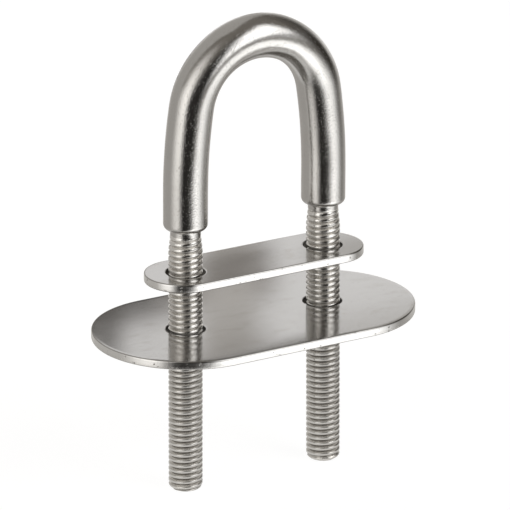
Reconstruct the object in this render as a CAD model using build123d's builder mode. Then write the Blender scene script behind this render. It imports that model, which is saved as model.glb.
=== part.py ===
from build123d import *
import math
import os

# Pad eye of the U-bolt kind, in polished stainless steel: one bent bar with two M6 studs, and two plates
# with round ends that slide on the studs. Millimetres, +Z up through the eye, +X along the line of the
# studs. The origin is half way between the studs, in the plane of the deck plate's underside.

# The studs: M6 x 1 rolled threads on the reduced ends of the bar
STUD_SPACING = 28.0
STUD_LENGTH = 48.1
BLANK_R = 2.675
NECK_LENGTH = 1.0
TIP_ROUND_R = 1.1
THREAD_PITCH = 1.0
CREST_R = 3.0
ROOT_R = 2.387
ROOT_FLAT = 0.17
FLANK_ANGLE = 30.0
FULL_CUTS = 3
CUT_BEYOND = 0.1
RUN_OUT_TURNS = 3
RUN_OUT_LAP = 0.6
RUN_OUT_LIFT = 0.03

# The bar: two short straight lengths, and a tall arch of one haunch radius and one crown radius
BAR_R = 3.9
SHOULDER_Z = 9.4
SHOULDER_ROUND_R = 1.05
NECK_ROUND_R = 0.15
SPRING_Z = 15.8
HAUNCH_R = 100.0
CROWN_R = 13.0

# The plates: sheet with full round ends and two clearance holes
SHEET = 1.5
HOLE_R = 3.5
DECK_PLATE_LENGTH = 42.6
DECK_PLATE_WIDTH = 13.7
BACKING_PLATE_LENGTH = 60.8
BACKING_PLATE_WIDTH = 33.4
BACKING_PLATE_TOP_Z = -9.0
BROKEN_EDGE_R = 0.2

# Sizes that follow from those
STUD_X = STUD_SPACING / 2
TIP_Z = SHOULDER_Z - STUD_LENGTH
NECK_Z = SHOULDER_Z - NECK_LENGTH
RUN_OUT = RUN_OUT_TURNS * THREAD_PITCH
FULL_THREAD_Z = NECK_Z - RUN_OUT
GROOVE_TOP_Z = FULL_THREAD_Z - RUN_OUT_LAP * THREAD_PITCH
GROOVE_DEPTH = CREST_R - ROOT_R + CUT_BEYOND
CUT_HEIGHT = math.ceil((GROOVE_TOP_Z - TIP_Z) / THREAD_PITCH / FULL_CUTS) * THREAD_PITCH
RUN_OUT_ANGLE = math.degrees(math.atan2(BLANK_R + RUN_OUT_LIFT - ROOT_R, RUN_OUT))
HAUNCH_X = STUD_X - HAUNCH_R
HAUNCH_ANGLE = math.degrees(math.acos((HAUNCH_R - STUD_X) / (HAUNCH_R - CROWN_R)))
CROWN_Z = SPRING_Z + (HAUNCH_R - CROWN_R) * math.sin(math.radians(HAUNCH_ANGLE))


def groove_section(helix):
    """The V between two threads, square to the helix at its start, with a narrow flat at its root."""
    rise = GROOVE_DEPTH * math.tan(math.radians(FLANK_ANGLE))
    inner, outer = ROOT_FLAT / 2, ROOT_FLAT / 2 + rise
    with BuildSketch(Plane(origin=helix @ 0, x_dir=(1, 0, 0), z_dir=helix % 0)) as section:
        with BuildLine():
            Polyline((0, -inner), (GROOVE_DEPTH, -outer), (GROOVE_DEPTH, outer), (0, inner), close=True)
        make_face()
    return section.sketch


def groove_helix(bottom_z, height, cone_angle=0):
    """A right-handed helix at the thread's root, on the Z axis."""
    with BuildLine() as helix:
        Helix(THREAD_PITCH, height, ROOT_R, center=(0, 0, bottom_z), cone_angle=cone_angle)
    return helix.line


# One straight end of the bar with its stud, turned about Z: rounded tip, thread, plain neck, shoulder.
# The thread is cut as a few helical stretches, end to end. The last one climbs a shallow cone, so that the
# thread fades out into the neck.
with BuildPart() as stud:
    with BuildSketch(Plane.XZ):
        with BuildLine():
            tip_round = CenterArc((CREST_R - TIP_ROUND_R, TIP_Z + TIP_ROUND_R), TIP_ROUND_R, 270, 90)
            neck_round = CenterArc(
                (BLANK_R + NECK_ROUND_R, SHOULDER_Z - NECK_ROUND_R), NECK_ROUND_R, 180, -90
            )
            shoulder_round = CenterArc(
                (BAR_R - SHOULDER_ROUND_R, SHOULDER_Z + SHOULDER_ROUND_R), SHOULDER_ROUND_R, 270, 90
            )
            Polyline(tip_round @ 1, (CREST_R, FULL_THREAD_Z), (BLANK_R, NECK_Z), neck_round @ 0)
            Line(neck_round @ 1, shoulder_round @ 0)
            Polyline(shoulder_round @ 1, (BAR_R, SPRING_Z), (0, SPRING_Z), (0, TIP_Z), tip_round @ 0)
        make_face()
    revolve(axis=Axis.Z)
    grooves = [groove_helix(GROOVE_TOP_Z - cut * CUT_HEIGHT, CUT_HEIGHT) for cut in range(FULL_CUTS, 0, -1)]
    grooves.append(groove_helix(GROOVE_TOP_Z, RUN_OUT, RUN_OUT_ANGLE))
    for groove in grooves:
        sweep(groove_section(groove), groove, is_frenet=True, mode=Mode.SUBTRACT)

# The bent bar: the arch, with a stud at each end. Both threads are right-handed.
with BuildPart() as u_bolt:
    with BuildLine(Plane.XZ) as arch_line:
        CenterArc((HAUNCH_X, SPRING_Z), HAUNCH_R, 0, HAUNCH_ANGLE)
        CenterArc((0, CROWN_Z), CROWN_R, HAUNCH_ANGLE, 180 - 2 * HAUNCH_ANGLE)
        CenterArc((-HAUNCH_X, SPRING_Z), HAUNCH_R, 180 - HAUNCH_ANGLE, HAUNCH_ANGLE)
    with BuildSketch(Plane.XY.offset(SPRING_Z)):
        with Locations((STUD_X, 0)):
            Circle(BAR_R)
    sweep(path=arch_line.wire())
    with Locations((-STUD_X, 0, 0), (STUD_X, 0, 0)):
        add(stud.part)
u_bolt.part.label = "u_bolt"

# The deck plate, a little wider than the bar, with its outer edges broken
with BuildPart() as deck_plate:
    with BuildSketch(Plane.XY):
        SlotOverall(DECK_PLATE_LENGTH, DECK_PLATE_WIDTH)
        with Locations((-STUD_X, 0), (STUD_X, 0)):
            Circle(HOLE_R, mode=Mode.SUBTRACT)
    extrude(amount=SHEET)
    fillet(faces().sort_by(Axis.Z)[0].outer_wire().edges(), BROKEN_EDGE_R)
    fillet(faces().sort_by(Axis.Z)[-1].outer_wire().edges(), BROKEN_EDGE_R)
deck_plate.part.label = "deck_plate"

# The backing plate, wide enough to spread the load under the deck
with BuildPart() as backing_plate:
    with BuildSketch(Plane.XY.offset(BACKING_PLATE_TOP_Z - SHEET)):
        SlotOverall(BACKING_PLATE_LENGTH, BACKING_PLATE_WIDTH)
        with Locations((-STUD_X, 0), (STUD_X, 0)):
            Circle(HOLE_R, mode=Mode.SUBTRACT)
    extrude(amount=SHEET)
    fillet(faces().sort_by(Axis.Z)[0].outer_wire().edges(), BROKEN_EDGE_R)
    fillet(faces().sort_by(Axis.Z)[-1].outer_wire().edges(), BROKEN_EDGE_R)
backing_plate.part.label = "backing_plate"

os.makedirs("parts", exist_ok=True)
export_step(u_bolt.part, "parts/u_bolt.step")
export_step(deck_plate.part, "parts/deck_plate.step")
export_step(backing_plate.part, "parts/backing_plate.step")
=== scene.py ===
import math

import bmesh
import bpy
import numpy as np
from mathutils import Matrix, Vector


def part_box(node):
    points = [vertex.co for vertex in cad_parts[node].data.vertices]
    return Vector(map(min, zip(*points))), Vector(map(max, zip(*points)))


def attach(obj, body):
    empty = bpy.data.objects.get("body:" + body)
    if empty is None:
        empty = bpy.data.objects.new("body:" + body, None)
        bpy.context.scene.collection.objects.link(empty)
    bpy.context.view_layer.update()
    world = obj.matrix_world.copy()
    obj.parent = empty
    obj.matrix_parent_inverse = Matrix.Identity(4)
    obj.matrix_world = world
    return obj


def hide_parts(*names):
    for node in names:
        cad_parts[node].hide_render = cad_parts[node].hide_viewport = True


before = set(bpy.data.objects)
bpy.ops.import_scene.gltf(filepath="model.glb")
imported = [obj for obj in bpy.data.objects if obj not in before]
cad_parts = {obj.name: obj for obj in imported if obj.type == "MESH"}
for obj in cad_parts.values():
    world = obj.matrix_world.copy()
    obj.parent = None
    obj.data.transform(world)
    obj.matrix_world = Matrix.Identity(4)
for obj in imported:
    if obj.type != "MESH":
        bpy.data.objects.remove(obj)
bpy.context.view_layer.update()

# Lengths below are in millimetres in the row frame, and MM turns them into Blender's metres.
MM = 0.001


def in_mm(metres):
    return np.array(metres, float) / MM


BOLT_LOW, BOLT_HIGH = map(in_mm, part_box("u_bolt"))
BAR_R = BOLT_HIGH[1]
STUD_X = BOLT_HIGH[0] - BAR_R
TIP_Z = BOLT_LOW[2]

# ---------------------------------------------------------------- camera, at the photograph's angle
# Angles are in degrees, lens and sensor in millimetres, and the other lengths here in metres.
CAMERA_AZIMUTH = -31.40
CAMERA_ELEVATION = 19.60
CAMERA_ROLL = 0.24
CAMERA_DISTANCE = 0.9169
LENS = 370.59
SENSOR = 36.0
AIM = Vector((0.00006, -0.00003, 0.00203))
CLIP_START, CLIP_END = 0.05, 50.0


def make_camera():
    azimuth, elevation = math.radians(CAMERA_AZIMUTH), math.radians(CAMERA_ELEVATION)
    out = Vector((
        math.sin(azimuth) * math.cos(elevation),
        -math.cos(azimuth) * math.cos(elevation),
        math.sin(elevation),
    ))
    place = out * CAMERA_DISTANCE
    back = (place - AIM).normalized()
    right = Vector((0, 0, 1)).cross(back).normalized()
    up = back.cross(right)
    roll = math.radians(CAMERA_ROLL)
    x = right * math.cos(roll) + up * math.sin(roll)
    y = up * math.cos(roll) - right * math.sin(roll)
    data = bpy.data.cameras.new("camera")
    data.lens, data.sensor_width = LENS, SENSOR
    data.clip_start, data.clip_end = CLIP_START, CLIP_END
    camera = bpy.data.objects.new("camera", data)
    camera.matrix_world = Matrix.Translation(place) @ Matrix((x, y, back)).transposed().to_4x4()
    bpy.context.scene.collection.objects.link(camera)
    bpy.context.scene.camera = camera
    bpy.context.scene.view_settings.view_transform = "Standard"
    bpy.context.scene.view_settings.look = "None"


make_camera()


# ---------------------------------------------------------------- meshes
WELD = 0.0005


def mesh_piece(name, points, faces, marks, attributes, materials):
    """A smooth-shaded piece from points in millimetres. marks gives each face's material index."""
    me = bpy.data.meshes.new(name)
    me.from_pydata((np.asarray(points) * MM).tolist(), [], [list(f) for f in faces])
    for material in materials:
        me.materials.append(material)
    me.polygons.foreach_set("material_index", np.asarray(marks, np.int32))
    for key, values in attributes.items():
        layer = me.attributes.new(key, "FLOAT_VECTOR", "POINT")
        layer.data.foreach_set("vector", np.asarray(values, np.float32).ravel())
    bm = bmesh.new()
    bm.from_mesh(me)
    bmesh.ops.remove_doubles(bm, verts=bm.verts, dist=WELD * MM)
    bmesh.ops.recalc_face_normals(bm, faces=bm.faces)
    bm.to_mesh(me)
    bm.free()
    me.polygons.foreach_set("use_smooth", np.ones(len(me.polygons), bool))
    me.update()
    piece = bpy.data.objects.new(name, me)
    bpy.context.scene.collection.objects.link(piece)
    return piece


def ease(x):
    """A smooth step from 0 to 1."""
    x = np.clip(x, 0, 1)
    return x * x * (3 - 2 * x)


# The bar and its two studs are one closed skin. Its grid winds round the bar as one long helical strip with
# the thread's own pitch of one millimetre, so that every crest and root runs along a grid line on both
# studs. Names that end in _H are heights above the tips. Phases, the crest's half width and where the root
# begins are in turns from a crest. TIP_GROOVE gives the tips' rounding the look of a flank.
CREST_R = 3.0
ROOT_R = 2.387
BLANK_R = 2.675
TIP_ROUND = 1.1
NECK_ROUND = 0.15
SHOULDER_ROUND = 1.05
SHOULDER_H = 48.1
NECK_H = 47.1
FULL_THREAD_H = 44.1
ROOT_RISE_H = 45.6
ROOT_RISE_END_H = 47.3
SPRING_H = 54.5
HAUNCH_R = 100.0
CROWN_R = 13.0
CREST_PHASE_LEFT = 0.284
CREST_PHASE_RIGHT = 0.634
CREST_HALF_WIDTH = 0.19
ROOT_FROM = 0.46
BEND_THINNING = 0.035
RIGHT_STUD_LEAN = 0.42
POLISH_WAVE = 0.0012
POLISH_FROM_H = SHOULDER_H + 1.0
POLISH_RISE = 3.0
TIP_GROOVE = 0.3
SAME_RADIUS = 0.001

# The grid: columns round the bar, rows in one turn of thread, and the steps between rows elsewhere
AROUND = 64
ROW_PHASES = np.array([0, 0.09, 0.17, 0.25, 0.33, 0.41, 0.5, 0.59, 0.67, 0.75, 0.83, 0.91])
ROWS_PER_TURN = len(ROW_PHASES)
TURNS = np.arange(-2, 60)[:, None]
ARC_POINTS = 49
FACE_ROWS, ROUND_ROWS = 5, 9
CLEAR_OF_TIP = 0.03
CLEAR_OF_NECK = 0.4
FIRST_FINE_STEP, FINE_STEP = 0.09, 0.12
FINE_PAST_END = 0.3
COARSE_STEP, COARSE_GROWTH, COARSEST_STEP = 0.14, 1.12, 0.75
CLEAR_OF_MIDDLE = 0.4

HAUNCH_ANGLE = math.acos((HAUNCH_R - STUD_X) / (HAUNCH_R - CROWN_R))
HAUNCH_LENGTH = HAUNCH_R * HAUNCH_ANGLE
CROWN_LENGTH = CROWN_R * (math.pi - 2 * HAUNCH_ANGLE)
LINE_LENGTH = 2 * (SPRING_H + HAUNCH_LENGTH) + CROWN_LENGTH


def end_profile():
    """The turned end: distance along the profile from the edge of the flat tip, height, and radius."""
    turn = np.linspace(0, math.pi / 2, ARC_POINTS)
    flat = CREST_R - TIP_ROUND
    shoulder_in = BAR_R - SHOULDER_ROUND
    height = [
        [0.0, 0.0],
        TIP_ROUND * (1 - np.cos(turn)),
        [FULL_THREAD_H, NECK_H],
        SHOULDER_H - NECK_ROUND + NECK_ROUND * np.sin(turn),
        SHOULDER_H + SHOULDER_ROUND * (1 - np.cos(turn)),
    ]
    radius = [
        [0.0, flat],
        flat + TIP_ROUND * np.sin(turn),
        [CREST_R, BLANK_R],
        BLANK_R + NECK_ROUND * (1 - np.cos(turn)),
        shoulder_in + SHOULDER_ROUND * np.sin(turn),
    ]
    height, radius = np.concatenate(height), np.concatenate(radius)
    # the two longest steps are the thread and its run-out. There the profile's length is its height, so that
    # the grid keeps the thread's own pitch
    steps = np.hypot(np.diff(height), np.diff(radius))
    long_steps = np.argsort(np.diff(height))[-2:]
    steps[long_steps] = np.diff(height)[long_steps]
    along = np.concatenate([[0.0], np.cumsum(steps)]) - flat
    return along, height, radius


END_ALONG, END_HEIGHT, END_RADIUS = end_profile()
END_LAST = END_ALONG[-1]
SIDE_SHIFT = np.interp(SHOULDER_H / 2, END_HEIGHT, END_ALONG) - SHOULDER_H / 2
SKIN_LENGTH = 2 * END_LAST + LINE_LENGTH - 2 * END_HEIGHT[-1]


def centre_line(c):
    """Point, inward direction and angle of bend at distance c along the bar from the left tip."""
    flip = c > LINE_LENGTH / 2
    d = np.where(flip, LINE_LENGTH - c, c)
    over = np.clip(d - SPRING_H, 0, HAUNCH_LENGTH) / HAUNCH_R
    top = np.clip(d - SPRING_H - HAUNCH_LENGTH, 0, None) / CROWN_R
    angle = over + top
    x = -STUD_X + HAUNCH_R * (1 - np.cos(over)) + CROWN_R * (np.cos(over) - np.cos(angle))
    arch_z = HAUNCH_R * np.sin(over) + CROWN_R * (np.sin(angle) - np.sin(over))
    z = TIP_Z + np.minimum(d, SPRING_H) + arch_z
    side = np.where(flip, -1.0, 1.0)
    point = np.stack([side * x, 0 * x, z], -1)
    inward = np.stack([side * np.cos(angle), 0 * x, -np.sin(angle)], -1)
    return point, inward, angle


def thread_cut(height, phase):
    """The stud's radius at a height above its tip, and the share of the groove's depth that is cut there.

    phase counts turns from a crest.
    """
    fade = np.clip((height - FULL_THREAD_H) / (NECK_H - FULL_THREAD_H), 0, 1)
    crest = CREST_R + (BLANK_R - CREST_R) * fade
    rise = np.clip((height - ROOT_RISE_H) / (ROOT_RISE_END_H - ROOT_RISE_H), 0, 1)
    root = np.minimum(ROOT_R + (BLANK_R - ROOT_R) * rise, crest)
    off = np.abs((phase + 0.5) % 1.0 - 0.5)
    down = np.clip((off - CREST_HALF_WIDTH) / (ROOT_FROM - CREST_HALF_WIDTH), 0, 1)
    cut = ease(down)
    return crest - (crest - root) * cut, cut


def bolt_rows():
    """Where the grid's rows lie along the skin, from the left tip's centre to the right tip's."""
    tip = np.concatenate([
        np.full(ROWS_PER_TURN + 1, END_ALONG[0]),
        np.linspace(END_ALONG[0], 0, FACE_ROWS)[1:],
        np.linspace(0, TIP_ROUND * math.pi / 2, ROUND_ROWS)[1:],
    ])
    left = (TURNS + CREST_PHASE_LEFT + ROW_PHASES).ravel() + SIDE_SHIFT
    right = (TURNS - CREST_PHASE_RIGHT + ROW_PHASES).ravel() + SIDE_SHIFT
    rows = []
    for thread in (left, right):
        past_tip = thread > tip[-1] + CLEAR_OF_TIP
        thread = thread[past_tip & (thread < NECK_H + SIDE_SHIFT - CLEAR_OF_NECK)]
        fine = np.arange(thread[-1] + FIRST_FINE_STEP, END_LAST + FINE_PAST_END, FINE_STEP)
        step, at, coarse = COARSE_STEP, fine[-1], []
        while at < SKIN_LENGTH / 2 - CLEAR_OF_MIDDLE:
            step = min(step * COARSE_GROWTH, COARSEST_STEP)
            at = at + step
            coarse.append(at)
        rows.append(np.concatenate([tip, thread, fine, coarse]))
    return np.concatenate([rows[0], SKIN_LENGTH - rows[1][::-1]])


def bolt_mesh(name, materials):
    """The bar and both studs. Its attributes unroll the skin for the material: "straight" is a place on the
    bar laid out straight, and "turned" is height above the tip, share of the groove's depth, and threaded.
    """
    rows = np.maximum.accumulate(bolt_rows())
    count = len(rows) - ROWS_PER_TURN
    t = np.arange(AROUND) / AROUND
    skin = rows[:count, None] * (1 - t) + rows[ROWS_PER_TURN:, None] * t
    theta = np.broadcast_to(2 * math.pi * t, skin.shape)
    on_right = skin > SKIN_LENGTH / 2
    along = np.where(on_right, SKIN_LENGTH - skin, skin)
    height = np.where(
        along < END_LAST, np.interp(along, END_ALONG, END_HEIGHT), END_HEIGHT[-1] + along - END_LAST
    )
    radius = np.interp(along, END_ALONG, END_RADIUS)
    turn = np.broadcast_to(t, skin.shape)
    phase = np.where(
        on_right, -height - turn - CREST_PHASE_RIGHT, height - turn - CREST_PHASE_LEFT
    )
    threaded = height < NECK_H
    cut_radius, cut = thread_cut(height, phase)
    grooved = threaded & (cut_radius < radius + SAME_RADIUS)
    radius = np.where(grooved, cut_radius, radius)
    groove = np.where(grooved, cut, TIP_GROOVE)
    line = np.where(on_right, LINE_LENGTH - height, height)
    point, inward, angle = centre_line(line)
    # the bar thins a little in the plane of the bend, most of all at the two haunches
    bend = np.sin(np.clip(angle, 0, math.pi / 2) * 2) ** 2 * BEND_THINNING
    a = radius * np.cos(theta) * (1 - bend)
    b = radius * np.sin(theta)
    # hand polishing leaves the bar very slightly wavy
    polished = ease((height - POLISH_FROM_H) / POLISH_RISE)
    wave = (
        np.sin(line * 0.71 + 2.0 * theta)
        + 0.7 * np.sin(line * 0.43 - 3.0 * theta + 1.3)
        + 0.5 * np.sin(line * 1.37 + theta + 0.4)
    )
    swell = 1 + polished * wave * POLISH_WAVE
    across = np.array([0.0, 1.0, 0.0])
    points = point + (a * swell)[..., None] * inward + (b * swell)[..., None] * across
    # the right stud leans out a little towards its tip
    points[..., 0] += np.where(on_right, np.clip(1 - height / SHOULDER_H, 0, 1) * RIGHT_STUD_LEAN, 0)
    straight = np.stack([radius * np.cos(theta), radius * np.sin(theta), line], -1)
    turned = np.stack([height, groove, threaded.astype(float)], -1)
    # faces inside the strip, and then those where it meets its own next turn
    index = np.arange(count * AROUND).reshape(count, AROUND)
    here, there = index[:-1], index[1:]
    inside = np.stack([here[:, :-1], here[:, 1:], there[:, 1:], there[:, :-1]], -1).reshape(-1, 4)
    last = index[: count - ROWS_PER_TURN - 1, -1]
    last_up = index[1 : count - ROWS_PER_TURN, -1]
    first = index[ROWS_PER_TURN : count - 1, 0]
    first_up = index[ROWS_PER_TURN + 1 : count, 0]
    faces = np.concatenate([inside, np.stack([last, first, first_up, last_up], -1)])
    attributes = {"straight": straight.reshape(-1, 3), "turned": turned.reshape(-1, 3)}
    return mesh_piece(name, points.reshape(-1, 3), faces, np.zeros(len(faces)), attributes, materials)


# A plate is two halves, each a fan of quads between one hole and the outline, with a rounded rim.
HOLE_R = 3.5
HOLE_ROUND = 0.12
RIM_ROUND = 0.2
FAN_ROWS = 26
FAN_CROWDING = 1.25
ROUNDING_ROWS = 6
EDGE_ROWS = 7
END_POINTS, SIDE_POINTS, SEAM_POINTS = 97, 31, 41
FACE_MARK, EDGE_MARK, BORE_MARK = 0, 1, 2


def outline(length, width, inset):
    """One half's outline, counter-clockwise from the middle of the front, and which of it is outer rim."""
    radius, centre = width / 2, (length - width) / 2
    h = radius - inset
    arc = np.linspace(-math.pi / 2, math.pi / 2, END_POINTS)
    side = np.linspace(0, 1, SIDE_POINTS)[:-1]
    seam = np.linspace(h, -h, SEAM_POINTS)[1:-1]
    x = np.concatenate([
        centre * side, centre + h * np.cos(arc), centre * (1 - side[1:]), [0.0], 0 * seam
    ])
    y = np.concatenate([-h + 0 * side, h * np.sin(arc), h + 0 * side[1:], [h], seam])
    outer = np.arange(len(x)) < len(x) - len(seam)
    return np.stack([x, y], -1), outer


def plate_mesh(name, node, wave, materials):
    """A plate. Its attribute "depth" is the distance below the top, for the edge's material."""
    low, high = map(in_mm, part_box(node))
    length, width = high[0] - low[0], high[1] - low[1]
    bottom, top = low[2], high[2]
    quarter = np.linspace(0, math.pi / 2, ROUNDING_ROWS)
    inner, outer = outline(length, width, RIM_ROUND)
    hole = np.array([STUD_X, 0.0])
    ray = inner - hole
    ray /= np.linalg.norm(ray, axis=1)[:, None]
    share = np.linspace(1, 0, FAN_ROWS) ** FAN_CROWDING
    hole_edge = hole + ray * (HOLE_R + HOLE_ROUND)

    def hole_row(q):
        """The hole's edge part way round its rounding, and how far that is from the face."""
        return hole + ray * (HOLE_R + HOLE_ROUND * (1 - math.sin(q))), HOLE_ROUND * (1 - math.cos(q))

    # from the outline across the top, down through the hole and back out across the bottom
    rows = [(hole_edge + (inner - hole_edge) * part, top) for part in share]
    rows += [(xy, top - drop) for xy, drop in map(hole_row, quarter[1:])]
    rows += [(xy, bottom + drop) for xy, drop in map(hole_row, quarter[::-1])]
    rows += [(hole_edge + (inner - hole_edge) * part, bottom) for part in share[::-1][1:]]
    n = len(inner)
    points = np.concatenate([np.column_stack([xy, np.full(n, z)]) for xy, z in rows])
    index = np.arange(len(rows) * n).reshape(len(rows), n)
    ahead = np.roll(index, -1, axis=1)
    faces = np.stack([index[:-1], ahead[:-1], ahead[1:], index[1:]], -1).reshape(-1, 4)
    marks = np.full((len(rows) - 1, n), FACE_MARK)
    marks[FAN_ROWS + ROUNDING_ROWS - 2] = BORE_MARK
    # the outer wall, from the top's edge down to the bottom's
    rim = inner[outer]
    straight_run = np.clip(rim[:, 0], 0, (length - width) / 2)
    normal = np.stack([rim[:, 0] - straight_run, rim[:, 1]], -1)
    normal /= np.linalg.norm(normal, axis=1)[:, None]
    wall = [
        (rim + normal * RIM_ROUND * math.sin(q), top - RIM_ROUND * (1 - math.cos(q))) for q in quarter
    ]
    for part in np.linspace(0, 1, EDGE_ROWS)[1:-1]:
        z = top - RIM_ROUND + (bottom - top + 2 * RIM_ROUND) * part
        wall.append((rim + normal * RIM_ROUND, z))
    for q in quarter[::-1]:
        wall.append((rim + normal * RIM_ROUND * math.sin(q), bottom + RIM_ROUND * (1 - math.cos(q))))
    m = len(rim)
    wall_points = np.concatenate([np.column_stack([xy, np.full(m, z)]) for xy, z in wall])
    wall_index = np.arange(len(wall) * m).reshape(len(wall), m) + len(points)
    wall_faces = np.stack(
        [wall_index[:-1, :-1], wall_index[1:, :-1], wall_index[1:, 1:], wall_index[:-1, 1:]], -1
    ).reshape(-1, 4)
    points = np.concatenate([points, wall_points])
    faces = np.concatenate([faces, wall_faces])
    marks = np.concatenate([marks.ravel(), np.full(len(wall_faces), EDGE_MARK)])
    # the other half is its mirror image
    both = np.concatenate([points, points * [-1, 1, 1]])
    faces = np.concatenate([faces, faces[:, ::-1] + len(points)])
    marks = np.concatenate([marks, marks])
    depth = np.column_stack([0 * both[:, :2], top - both[:, 2]])
    both[:, 2] += wave(both[:, 0], both[:, 1])
    return mesh_piece(name, both, faces, marks, {"depth": depth}, materials)


def deck_wave(x, y):
    """How far the deck plate is from flat, in millimetres."""
    return 0.010 * np.sin(x * 0.21 + 0.6) + 0.006 * np.sin(y * 0.55 + x * 0.1)


def backing_wave(x, y):
    """How far the backing plate is from flat, in millimetres."""
    return 0.02 * np.sin(x * 0.12 + 0.4) + 0.012 * np.sin(y * 0.21 + x * 0.06 + 0.5)


# ---------------------------------------------------------------- materials
# The sockets of a Mix node that it shows when it mixes colours
COLOUR_MIX_FACTOR, COLOUR_MIX_A, COLOUR_MIX_B = 0, 6, 7
COLOUR_MIX_RESULT = 2


class Nodes:
    """Shorthand for building one node tree. A value is a number, a colour or another node's socket."""

    def __init__(self, tree):
        self.tree = tree

    def add(self, kind, **settings):
        made = self.tree.nodes.new(kind)
        for key, value in settings.items():
            setattr(made, key, value)
        return made

    def put(self, socket, value):
        if isinstance(value, bpy.types.NodeSocket):
            self.tree.links.new(value, socket)
        elif isinstance(value, tuple) and socket.type == "RGBA":
            socket.default_value = (*value, 1)
        else:
            socket.default_value = value

    def math(self, operation, a, b=0.0):
        made = self.add("ShaderNodeMath", operation=operation)
        self.put(made.inputs[0], a)
        self.put(made.inputs[1], b)
        return made.outputs[0]

    def times(self, a, b):
        return self.math("MULTIPLY", a, b)

    def plus(self, a, b):
        return self.math("ADD", a, b)

    def minus(self, a, b):
        return self.math("SUBTRACT", a, b)

    def ramp(self, value, low, high, at_low=0.0, at_high=1.0):
        """A smooth step from at_low, where value is low, to at_high, where it is high."""
        made = self.add("ShaderNodeMapRange", interpolation_type="SMOOTHSTEP")
        for key, v in (
            ("Value", value), ("From Min", low), ("From Max", high), ("To Min", at_low), ("To Max", at_high)
        ):
            self.put(made.inputs[key], v)
        return made.outputs["Result"]

    def stretch(self, vector, x, y, z):
        made = self.add("ShaderNodeVectorMath", operation="MULTIPLY")
        self.put(made.inputs[0], vector)
        made.inputs[1].default_value = (x, y, z)
        return made.outputs[0]

    def split(self, vector):
        made = self.add("ShaderNodeSeparateXYZ")
        self.put(made.inputs[0], vector)
        return made.outputs

    def noise(self, vector, scale, detail=2.0, roughness=0.5):
        made = self.add("ShaderNodeTexNoise")
        settings = {"Vector": vector, "Scale": scale, "Detail": detail, "Roughness": roughness}
        for key, v in settings.items():
            self.put(made.inputs[key], v)
        return made.outputs["Fac"]

    def mix(self, factor, a, b):
        made = self.add("ShaderNodeMix", data_type="RGBA")
        for index, v in ((COLOUR_MIX_FACTOR, factor), (COLOUR_MIX_A, a), (COLOUR_MIX_B, b)):
            self.put(made.inputs[index], v)
        return made.outputs[COLOUR_MIX_RESULT]

    def attribute(self, name):
        return self.add("ShaderNodeAttribute", attribute_name=name).outputs["Vector"]

    def object_mm(self):
        place = self.add("ShaderNodeTexCoord").outputs["Object"]
        return self.stretch(place, 1 / MM, 1 / MM, 1 / MM)

    def bump(self, height, distance, normal=None):
        made = self.add("ShaderNodeBump")
        made.inputs["Distance"].default_value = distance * MM
        self.put(made.inputs["Height"], height)
        if normal is not None:
            self.put(made.inputs["Normal"], normal)
        return made.outputs["Normal"]


def metal(name):
    """A new metal material, its node shorthand and its shader."""
    made = bpy.data.materials.new(name)
    made.use_nodes = True
    shader = made.node_tree.nodes["Principled BSDF"]
    shader.inputs["Metallic"].default_value = 1.0
    return made, Nodes(made.node_tree), shader


def bar_material():
    """Polished bar with fine lengthwise lines; rolled threads with polished crests and satin flanks."""
    made, n, shader = metal("bar_steel")
    skin = n.attribute("straight")
    height, groove, threaded = n.split(n.attribute("turned"))
    cloud = n.noise(skin, 0.20, 3.0, 0.55)
    blotch = n.noise(skin, 0.9, 3.0, 0.6)
    grain = n.noise(skin, 3.2, 2.0, 0.7)
    lines = n.noise(n.stretch(skin, 4.5, 4.5, 0.16), 1.0, 3.0, 0.6)
    hairs = n.ramp(n.noise(n.stretch(skin, 2.2, 2.2, 0.35), 1.6, 4.0, 0.7), 0.61, 0.68)
    specks = n.ramp(n.noise(skin, 3.9, 1.0), 0.60, 0.74)
    flank = n.times(n.ramp(groove, 0.12, 0.40), threaded)
    root = n.times(n.ramp(groove, 0.62, 0.95), threaded)
    low = n.times(n.ramp(height, 31.0, 25.0), threaded)
    polish = n.mix(cloud, (0.575, 0.563, 0.543), (0.66, 0.653, 0.64))
    polish = n.mix(n.times(specks, 0.30), polish, (0.42, 0.405, 0.38))
    crest = n.mix(blotch, (0.78, 0.765, 0.735), (0.90, 0.89, 0.87))
    satin = n.mix(blotch, (0.82, 0.79, 0.745), (0.97, 0.955, 0.92))
    colour = n.mix(threaded, polish, n.mix(flank, crest, satin))
    # painted shade: below the plates the threads are darkened towards a flat grey, for the plates' shadow
    colour = n.mix(n.times(low, 0.45), colour, (0.50, 0.485, 0.46))
    # painted shade: the thread roots are darkened towards a dark brown, more so below the plates
    painted_root_shade = n.times(root, n.ramp(low, 0.0, 1.0, 0.50, 0.90))
    colour = n.mix(painted_root_shade, colour, (0.14, 0.125, 0.108))
    n.put(shader.inputs["Base Color"], colour)
    n.put(shader.inputs["Metallic"], n.ramp(flank, 0.0, 1.0, 1.0, 0.76))
    rough = n.ramp(cloud, 0.25, 0.75, 0.085, 0.145)
    for mask, gain in ((hairs, 0.05), (specks, 0.07), (flank, 0.13), (low, 0.02), (root, 0.05)):
        rough = n.plus(rough, n.times(mask, gain))
    rough = n.plus(rough, n.times(n.minus(blotch, 0.5), 0.07))
    n.put(shader.inputs["Roughness"], rough)
    relief = n.bump(lines, 0.0045)
    relief = n.bump(hairs, 0.004, relief)
    relief = n.bump(grain, 0.015, relief)
    relief = n.bump(specks, 0.010, relief)
    n.put(shader.inputs["Normal"], relief)
    return made


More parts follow.
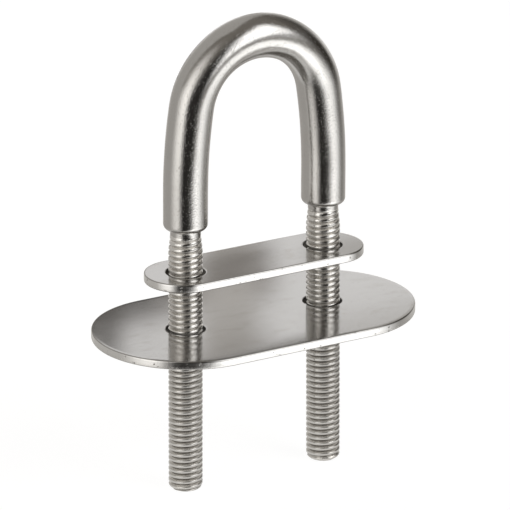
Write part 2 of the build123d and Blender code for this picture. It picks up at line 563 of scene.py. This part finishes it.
def plate_material(name, warm):
    """Rolled sheet, polished flat: faint lines along its length, soft clouds and a few stains."""
    made, n, shader = metal(name)
    place = n.object_mm()
    cloud = n.noise(place, 0.085, 3.0, 0.5)
    stain = n.noise(n.stretch(place, 1.0, 1.6, 1.0), 0.24, 4.0, 0.6)
    grain = n.noise(place, 3.0, 3.0, 0.6)
    lines = n.noise(n.stretch(place, 0.10, 5.0, 1.0), 1.0, 3.0, 0.6)
    specks = n.ramp(n.noise(place, 2.6, 1.0), 0.71, 0.78)
    clean = n.mix(cloud, (0.57, 0.564, 0.558), (0.63, 0.627, 0.625))
    colour = n.mix(n.times(n.ramp(stain, 0.52, 0.75), 0.35), clean, warm)
    colour = n.mix(n.times(specks, 0.35), colour, (0.36, 0.34, 0.31))
    n.put(shader.inputs["Base Color"], colour)
    rough = n.ramp(cloud, 0.25, 0.75, 0.105, 0.15)
    rough = n.plus(rough, n.times(n.minus(stain, 0.5), 0.06))
    rough = n.plus(rough, n.times(specks, 0.08))
    n.put(shader.inputs["Roughness"], rough)
    relief = n.bump(lines, 0.0022)
    relief = n.bump(grain, 0.0035, relief)
    n.put(shader.inputs["Normal"], relief)
    return made


def edge_material():
    """The sheared edge of a plate: bright, with fine upright lines, a torn lower part and small pits."""
    made, n, shader = metal("edge_steel")
    place = n.object_mm()
    depth = n.split(n.attribute("depth"))[2]
    upright = n.noise(n.stretch(place, 3.2, 3.2, 0.25), 1.0, 4.0, 0.65)
    grain = n.noise(place, 2.4, 3.0, 0.65)
    pits = n.ramp(n.noise(n.stretch(place, 1.0, 1.0, 1.5), 1.15, 2.0, 0.6), 0.665, 0.73)
    torn = n.ramp(n.plus(depth, n.times(upright, 0.5)), 1.05, 1.35)
    rim = n.math("MAXIMUM", n.ramp(depth, 0.17, 0.09), n.ramp(depth, 1.29, 1.38))
    colour = n.mix(upright, (0.80, 0.795, 0.78), (0.90, 0.895, 0.885))
    colour = n.mix(n.times(torn, 0.22), colour, (0.60, 0.585, 0.56))
    colour = n.mix(n.times(rim, 0.62), colour, (0.26, 0.25, 0.235))
    colour = n.mix(n.times(pits, 0.8), colour, (0.20, 0.185, 0.165))
    n.put(shader.inputs["Base Color"], colour)
    rough = n.ramp(grain, 0.3, 0.7, 0.13, 0.22)
    rough = n.plus(rough, n.times(torn, 0.08))
    rough = n.plus(rough, n.times(pits, 0.25))
    n.put(shader.inputs["Roughness"], rough)
    relief = n.bump(upright, 0.006)
    relief = n.bump(grain, 0.005, relief)
    relief = n.bump(n.minus(1.0, pits), 0.05, relief)
    n.put(shader.inputs["Normal"], relief)
    return made


def bore_material(name, dark, light):
    """The punched wall of a hole: rougher than the faces and streaked from top to bottom. Its dark colour is
    painted shade, for the shadow inside the hole.
    """
    made, n, shader = metal(name)
    place = n.object_mm()
    streaks = n.noise(n.stretch(place, 3.0, 3.0, 0.4), 1.0, 3.0, 0.6)
    grain = n.noise(place, 4.0, 3.0, 0.6)
    n.put(shader.inputs["Base Color"], n.mix(streaks, dark, light))
    n.put(shader.inputs["Roughness"], n.ramp(grain, 0.3, 0.7, 0.34, 0.55))
    n.put(shader.inputs["Normal"], n.bump(grain, 0.01, n.bump(streaks, 0.02)))
    return made


bar_steel = bar_material()
deck_steel = plate_material("deck_steel", (0.48, 0.455, 0.42))
backing_steel = plate_material("backing_steel", (0.50, 0.48, 0.45))
edge_steel = edge_material()
# the hole walls' dark colours are painted shade, darkest in the backing plate
deck_bore_painted_shade = bore_material("deck_bore_painted_shade", (0.12, 0.11, 0.10), (0.42, 0.41, 0.39))
backing_bore_painted_shade = bore_material("backing_bore_painted_shade", (0.035, 0.031, 0.027), (0.13, 0.12, 0.108))

bolt = bolt_mesh("bar_and_studs", [bar_steel])
deck = plate_mesh("deck_cover", "deck_plate", deck_wave, [deck_steel, edge_steel, deck_bore_painted_shade])
backing = plate_mesh("backing", "backing_plate", backing_wave, [backing_steel, edge_steel, backing_bore_painted_shade])

for piece, body in ((bolt, "u_bolt"), (deck, "deck_plate"), (backing, "backing_plate")):
    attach(piece, body)
    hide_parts(body)


# ---------------------------------------------------------------- studio
# Soft light by direction: azimuth 0 is the front (-Y), positive to the right (+X), in degrees. Each light
# is azimuth from, to, softness; elevation from, to, softness; how far it rises per degree of azimuth; and
# its colour. Later lights lie over earlier ones.
BASE_LIGHT = (0.465, 0.448, 0.425)
LIGHTS = [
    ((-114.7, 139.7, 12.7), (21.5, 130.0, 14.2), 0.04, (0.205, 0.188, 0.168)),
    ((-76.0, -66.9, 85.4), (-4.9, 62.9, 53.2), 0.23, (3.47, 3.40, 3.30)),
    ((-56.5, 11.0, 30.0), (-26.0, 49.0, 46.0), 0.65, (0.030, 0.028, 0.026)),
    ((-5.0, 64.2, 38.0), (-53.0, -22.5, 13.0), 0.27, (1.95, 1.94, 1.92)),
    ((7.5, 56.0, 23.0), (-5.0, 42.0, 20.0), 0.32, (1.95, 1.94, 1.93)),
    ((1.0, 112.0, 6.0), (-15.5, -12.0, 6.5), 0.57, (0.10, 0.095, 0.09)),
    ((47.0, 126.2, 63.6), (-43.6, 1.9, 36.3), 0.34, (0.045, 0.040, 0.034)),
    ((106.0, 193.8, 35.9), (-4.3, 16.0, 32.2), -0.05, (0.96, 0.94, 0.91)),
]


def soft_window(n, value, low, high, soft):
    """1 where value is between low and high, fading to 0 over soft at each."""
    up = n.ramp(value, low - soft / 2, low + soft / 2)
    down = n.ramp(value, high + soft / 2, high - soft / 2)
    return n.times(up, down)


def soft_patch(n, across, across_window, up, up_window):
    return n.times(soft_window(n, across, *across_window), soft_window(n, up, *up_window))


def make_world():
    """The lights by direction. The camera itself sees plain white."""
    world = bpy.data.worlds.new("studio")
    bpy.context.scene.world = world
    world.use_nodes = True
    world.node_tree.nodes.clear()
    n = Nodes(world.node_tree)
    x, y, z = n.split(n.add("ShaderNodeTexCoord").outputs["Generated"])
    azimuth = n.math("DEGREES", n.math("ARCTAN2", x, n.times(y, -1.0)))
    elevation = n.math("DEGREES", n.math("ARCSINE", z))
    colour = BASE_LIGHT
    for azimuths, elevations, rise, light in LIGHTS:
        level = n.minus(elevation, n.times(azimuth, rise))
        colour = n.mix(soft_patch(n, azimuth, azimuths, level, elevations), colour, light)
    lit = n.add("ShaderNodeBackground")
    n.put(lit.inputs["Color"], colour)
    seen = n.add("ShaderNodeBackground")
    seen.inputs["Color"].default_value = (1, 1, 1, 1)
    blend = n.add("ShaderNodeMixShader")
    n.put(blend.inputs[0], n.add("ShaderNodeLightPath").outputs["Is Camera Ray"])
    n.put(blend.inputs[1], lit.outputs[0])
    n.put(blend.inputs[2], seen.outputs[0])
    n.put(n.add("ShaderNodeOutputWorld").inputs["Surface"], blend.outputs[0])


def backdrop(name, corners, made):
    """One flat face that isn't part of the object."""
    me = bpy.data.meshes.new(name)
    me.from_pydata((np.asarray(corners) * MM).tolist(), [], [list(range(len(corners)))])
    me.materials.append(made)
    piece = bpy.data.objects.new(name, me)
    bpy.context.scene.collection.objects.link(piece)
    return piece


def ring(radius, z, count):
    turn = np.linspace(0, 2 * math.pi, count + 1)[:-1]
    return np.stack([radius * np.cos(turn), radius * np.sin(turn), np.full(count, z)], -1)


def lit_card(name, corners, paint, strength=1.0):
    """A glowing card that only reflections see. paint gives its colour and its cover at a place."""
    made = bpy.data.materials.new(name)
    made.use_nodes = True
    made.node_tree.nodes.clear()
    n = Nodes(made.node_tree)
    colour, cover = paint(n, *n.split(n.object_mm()))
    glow = n.add("ShaderNodeEmission")
    n.put(glow.inputs["Color"], colour)
    glow.inputs["Strength"].default_value = strength
    blend = n.add("ShaderNodeMixShader")
    n.put(blend.inputs[0], cover)
    n.put(blend.inputs[1], n.add("ShaderNodeBsdfTransparent").outputs[0])
    n.put(blend.inputs[2], glow.outputs[0])
    n.put(n.add("ShaderNodeOutputMaterial").inputs["Surface"], blend.outputs[0])
    card = backdrop(name, corners, made)
    card.visible_camera = card.visible_diffuse = card.visible_shadow = False


# One card stands close behind the object, on its right. It gives the plates' tops their light side and
# their dark side. Its shades are windows in x and in z on the card, in millimetres.
CARD_Y = 100.0
CARD_X, CARD_Z = (-10.0, 150.0), (0.0, 66.0)
CARD_FADE_X, CARD_FADE_Z = 24.0, 14.0
CARD_LIGHT = (0.90, 0.885, 0.87)
CARD_SHADES = [
    ((-60.0, 66.0, 9.0), (-20.0, 30.5, 6.0), (0.34, 0.315, 0.29)),
    ((-60.0, 40.0, 12.0), (-20.0, 29.0, 7.0), (0.09, 0.085, 0.08)),
    ((-60.0, 30.5, 7.0), (-20.0, 38.0, 6.0), (0.16, 0.15, 0.14)),
    ((49.0, 61.0, 8.0), (20.0, 90.0, 20.0), (0.60, 0.575, 0.54)),
    ((48.0, 65.0, 9.0), (40.0, 90.0, 3.0), (0.27, 0.25, 0.23)),
    ((74.0, 180.0, 9.0), (41.5, 90.0, 4.0), (0.50, 0.48, 0.45)),
]


def paint_card(n, x, y, z):
    colour = CARD_LIGHT
    for across, up, shade in CARD_SHADES:
        colour = n.mix(soft_patch(n, x, across, z, up), colour, shade)
    across = (CARD_X[0] + CARD_FADE_X / 2, CARD_X[1] - CARD_FADE_X / 2, CARD_FADE_X)
    up = (CARD_Z[0] + CARD_FADE_Z / 2, CARD_Z[1] - CARD_FADE_Z / 2, CARD_FADE_Z)
    return colour, soft_patch(n, x, across, z, up)


# The other is a disc on the floor under the object. It lights the threads from below.
LOW_CARD_R = 80.0
LOW_CARD_FADE = 42.0
LOW_CARD_LIFT = 0.3
LOW_CARD_LIGHT = (1.0, 0.985, 0.96)
LOW_CARD_STRENGTH = 0.72


def paint_low_card(n, x, y, z):
    reach = n.math("SQRT", n.plus(n.times(x, x), n.times(y, y)))
    return LOW_CARD_LIGHT, n.ramp(reach, LOW_CARD_R, LOW_CARD_R - LOW_CARD_FADE)


# The floor is pale paper, out to where the camera sees no edge, and isn't seen in the steel.
FLOOR_R = 20000.0
FLOOR_GREY = 0.25
FLOOR_GLOW = 0.90


def make_floor():
    made = bpy.data.materials.new("floor_paper")
    made.use_nodes = True
    shader = made.node_tree.nodes["Principled BSDF"]
    shader.inputs["Base Color"].default_value = (FLOOR_GREY, FLOOR_GREY, FLOOR_GREY, 1)
    shader.inputs["Roughness"].default_value = 0.9
    shader.inputs["Specular IOR Level"].default_value = 0.0
    shader.inputs["Emission Color"].default_value = (1, 1, 1, 1)
    shader.inputs["Emission Strength"].default_value = FLOOR_GLOW
    floor = backdrop("floor", ring(FLOOR_R, TIP_Z, 96), made)
    floor.visible_glossy = False


make_world()
card_corners = [(x, CARD_Y, z) for x, z in zip(CARD_X + CARD_X[::-1], np.repeat(CARD_Z, 2))]
lit_card("card", card_corners, paint_card)
lit_card("low_card", ring(LOW_CARD_R, TIP_Z + LOW_CARD_LIFT, 64), paint_low_card, LOW_CARD_STRENGTH)
make_floor()

bpy.context.view_layer.update()
